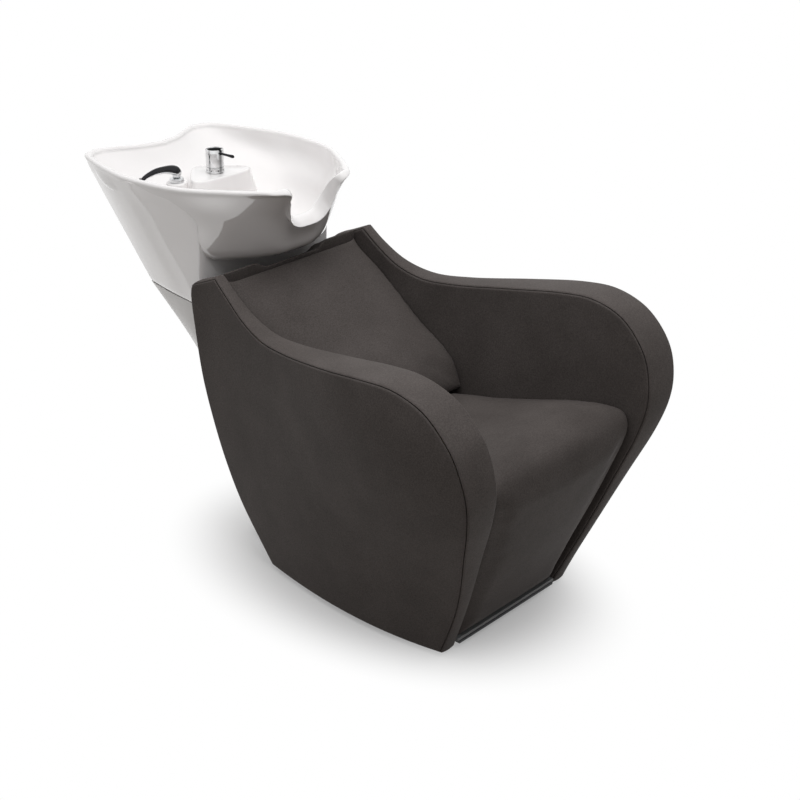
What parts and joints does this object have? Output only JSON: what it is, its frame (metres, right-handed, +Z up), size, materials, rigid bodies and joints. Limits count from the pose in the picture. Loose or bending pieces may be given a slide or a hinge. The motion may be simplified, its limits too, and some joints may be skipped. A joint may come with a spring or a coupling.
{
  "type": "salon hair washing chair",
  "caption": "Upholstered armchair with rolled-front seat and wide sculpted arms, joined to a tilting ceramic hair washing basin with neck notch, mixer and hand shower on a rear column.",
  "frame": {"origin": "floor level, at the centre of the plan bounding box", "axes": "+Z up; the sitter faces -Y, the basin is towards +Y, and the sitter's left is +X"},
  "size_m": [0.7752, 1.3268, 0.91],
  "materials": {
    "leatherette": "matt dark grey upholstery with a fine grain",
    "leatherette_band": "matt dark grey upholstery with a fine grain",
    "ceramic": "glossy white glaze",
    "cover_white": "glossy white",
    "chrome": "polished",
    "dark_chrome": "polished, dark",
    "painted_steel": "satin black paint",
    "zinc_steel": "zinc plated",
    "plywood": "raw plywood",
    "rubber": "matt",
    "grey_plastic": "matt",
    "black_plastic": "matt",
    "brass": "satin"
  },
  "bodies": {
    "chair": {"back_board": "plywood", "back_cushion": "leatherette", "cold_supply": "zinc_steel", "cold_valve": "brass", "column_post": "painted_steel", "floor_plate": "painted_steel", "front_board": "plywood", "hot_supply": "zinc_steel", "hot_valve": "brass", "left_arm_band": "leatherette_band", "left_arm_core": "plywood", "left_arm_inner_pad": "leatherette", "left_arm_outer_pad": "leatherette", "left_column_bolt": "zinc_steel", "left_front_arm_bolt": "zinc_steel", "left_front_glide": "black_plastic", "left_middle_glide": "black_plastic", "left_rear_arm_bolt": "zinc_steel", "left_rear_glide": "black_plastic", "left_rest": "rubber", "left_side_board": "plywood", "plinth_strip": "grey_plastic", "rear_panel": "leatherette", "right_arm_band": "leatherette_band", "right_arm_core": "plywood", "right_arm_inner_pad": "leatherette", "right_arm_outer_pad": "leatherette", "right_column_bolt": "zinc_steel", "right_front_arm_bolt": "zinc_steel", "right_front_glide": "black_plastic", "right_middle_glide": "black_plastic", "right_rear_arm_bolt": "zinc_steel", "right_rear_glide": "black_plastic", "right_rest": "rubber", "right_side_board": "plywood", "seat_board": "plywood", "seat_cushion": "leatherette", "tilt_pin": "zinc_steel", "top_rail": "leatherette", "waste_hose": "grey_plastic", "waste_socket": "grey_plastic"},
    "wash_basin": {"basin": "ceramic", "basin_bracket": "painted_steel", "drain_flange": "chrome", "drain_tailpiece": "chrome", "mixer_base": "chrome", "mixer_nut": "brass", "hot_hose": "zinc_steel", "cold_hose": "zinc_steel", "shower_socket": "chrome", "shower_hose": "zinc_steel"},
    "mixer_head": {"mixer_head": "chrome", "mixer_cap": "black_plastic"},
    "mixer_lever": {"mixer_lever": "chrome"},
    "hand_shower": {"hand_shower": "dark_chrome", "spray_plate": "black_plastic", "shower_hose_stub": "zinc_steel"},
    "strainer": {"hair_strainer": "chrome"},
    "cover": {"lower_cover": "cover_white"}
  },
  "joints": [
    {"name": "basin_tilt", "type": "hinge", "parent": "chair", "child": "wash_basin", "pos_m": [0, 0.46236, 0.70199], "axis": [-1, 0, 0], "range_deg": [0, 7]},
    {"name": "mixer_turn", "type": "hinge", "parent": "wash_basin", "child": "mixer_head", "pos_m": [0, 0.40828, 0.88], "axis": [0, 0, 1], "range_deg": [-45, 45]},
    {"name": "mixer_lift", "type": "hinge", "parent": "mixer_head", "child": "mixer_lever", "pos_m": [0, 0.40828, 0.9026], "axis": [-1, 0, 0], "range_deg": [0, 20]},
    {"name": "shower_lift", "type": "slide", "parent": "wash_basin", "child": "hand_shower", "axis": [0, 0, 1], "range_m": [0, 0.1]},
    {"name": "strainer_lift", "type": "slide", "parent": "wash_basin", "child": "strainer", "axis": [0, 0, 1], "range_m": [0, 0.04]},
    {"name": "cover_slide", "type": "slide", "parent": "chair", "child": "cover", "axis": [0, 1, 0], "range_m": [0, 0.12]}
  ]
}
